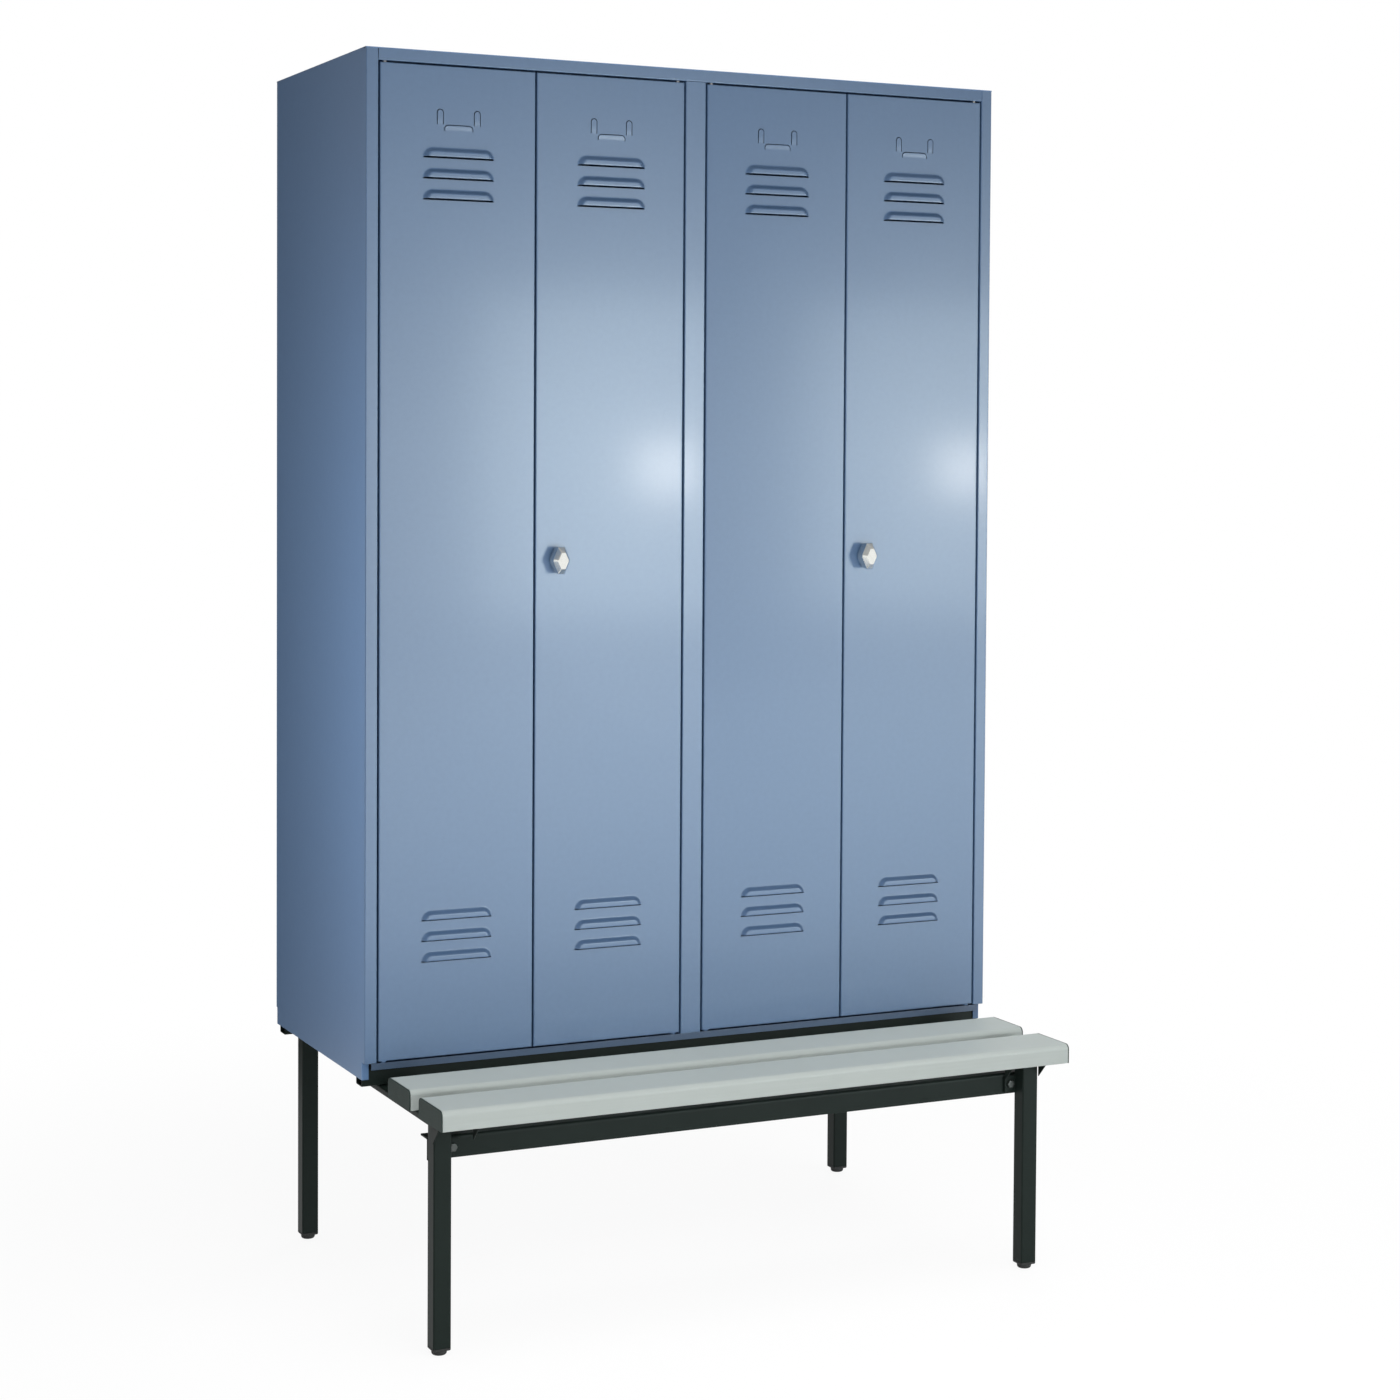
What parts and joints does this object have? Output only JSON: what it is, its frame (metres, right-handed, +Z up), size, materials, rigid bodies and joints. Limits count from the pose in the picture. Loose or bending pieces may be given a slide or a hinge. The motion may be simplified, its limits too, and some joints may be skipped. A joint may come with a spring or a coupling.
{
  "type": "clothes locker with bench",
  "caption": "Blue steel clothes locker with two pairs of louvred doors and turn knobs, standing on a black square-tube underframe that carries a slatted bench.",
  "frame": {"origin": "on the floor, at the middle of the whole object's footprint, bench included", "axes": "+X to the right seen from the front, -Y towards the user who sits on the bench, +Z up"},
  "size_m": [1.19, 0.815, 2.09],
  "materials": {
    "cabinet_blue": "smooth satin powder coat",
    "door_blue": "smooth satin powder coat",
    "zinc": "bright zinc plating",
    "frame_black": "satin powder coat",
    "foot_rubber": "moulded matt",
    "slat_plastic": "smooth semi-gloss",
    "cap_plastic": "moulded matt",
    "bright_zinc": "polished plated casting"
  },
  "bodies": {
    "cabinet": {"side_panel_left": "cabinet_blue", "side_panel_right": "cabinet_blue", "top_panel": "cabinet_blue", "floor_panel": "cabinet_blue", "back_panel": "cabinet_blue", "centre_post": "cabinet_blue", "centre_partition": "cabinet_blue", "divider_left": "cabinet_blue", "divider_right": "cabinet_blue", "hat_shelf_left": "cabinet_blue", "hat_shelf_right": "cabinet_blue", "clothes_rail_left": "zinc", "clothes_rail_right": "zinc", "coat_hook_1": "zinc", "coat_hook_2": "zinc", "coat_hook_3": "zinc", "coat_hook_4": "zinc", "hinge_rod_1": "zinc", "hinge_rod_2": "zinc", "hinge_rod_3": "zinc", "hinge_rod_4": "zinc", "angle_bolt_left": "zinc", "angle_bolt_right": "zinc", "slat_screw_front_left": "zinc", "slat_screw_front_right": "zinc", "slat_screw_rear_left": "zinc", "slat_screw_rear_right": "zinc", "leg_front_left": "frame_black", "leg_front_right": "frame_black", "leg_rear_left": "frame_black", "leg_rear_right": "frame_black", "frame_front_tube": "frame_black", "frame_rear_tube": "frame_black", "side_rail_left": "frame_black", "side_rail_right": "frame_black", "bench_arm_left": "frame_black", "bench_arm_right": "frame_black", "bench_cross_angle": "frame_black", "foot_front_left": "foot_rubber", "foot_front_right": "foot_rubber", "foot_rear_left": "foot_rubber", "foot_rear_right": "foot_rubber", "bench_slat_front": "slat_plastic", "bench_slat_rear": "slat_plastic", "slat_cap_front_left": "cap_plastic", "slat_cap_front_right": "cap_plastic", "slat_cap_rear_left": "cap_plastic", "slat_cap_rear_right": "cap_plastic"},
    "door_1": {"door_1_panel": "door_blue"},
    "door_2": {"door_2_panel": "door_blue", "lock_barrel_left": "bright_zinc", "lock_housing_left": "zinc"},
    "door_3": {"door_3_panel": "door_blue"},
    "door_4": {"door_4_panel": "door_blue", "lock_barrel_right": "bright_zinc", "lock_housing_right": "zinc"},
    "lock_left": {"knob_left": "bright_zinc", "lock_bolt_left": "zinc"},
    "lock_right": {"knob_right": "bright_zinc", "lock_bolt_right": "zinc"}
  },
  "joints": [
    {"name": "door_1_hinge", "type": "hinge", "parent": "cabinet", "child": "door_1", "pos_m": [-0.561, -0.0855, 0.422], "axis": [0, 0, -1], "range_deg": [0, 110]},
    {"name": "door_2_hinge", "type": "hinge", "parent": "cabinet", "child": "door_2", "pos_m": [-0.032, -0.0855, 0.422], "axis": [0, 0, 1], "range_deg": [0, 90]},
    {"name": "door_3_hinge", "type": "hinge", "parent": "cabinet", "child": "door_3", "pos_m": [0.032, -0.0855, 0.422], "axis": [0, 0, -1], "range_deg": [0, 90]},
    {"name": "door_4_hinge", "type": "hinge", "parent": "cabinet", "child": "door_4", "pos_m": [0.561, -0.0855, 0.422], "axis": [0, 0, 1], "range_deg": [0, 110]},
    {"name": "lock_left_turn", "type": "hinge", "parent": "door_2", "child": "lock_left", "pos_m": [-0.257, -0.0925, 1.248], "axis": [0, 1, 0], "range_deg": [0, 90]},
    {"name": "lock_right_turn", "type": "hinge", "parent": "door_4", "child": "lock_right", "pos_m": [0.336, -0.0925, 1.248], "axis": [0, 1, 0], "range_deg": [0, 90]}
  ]
}
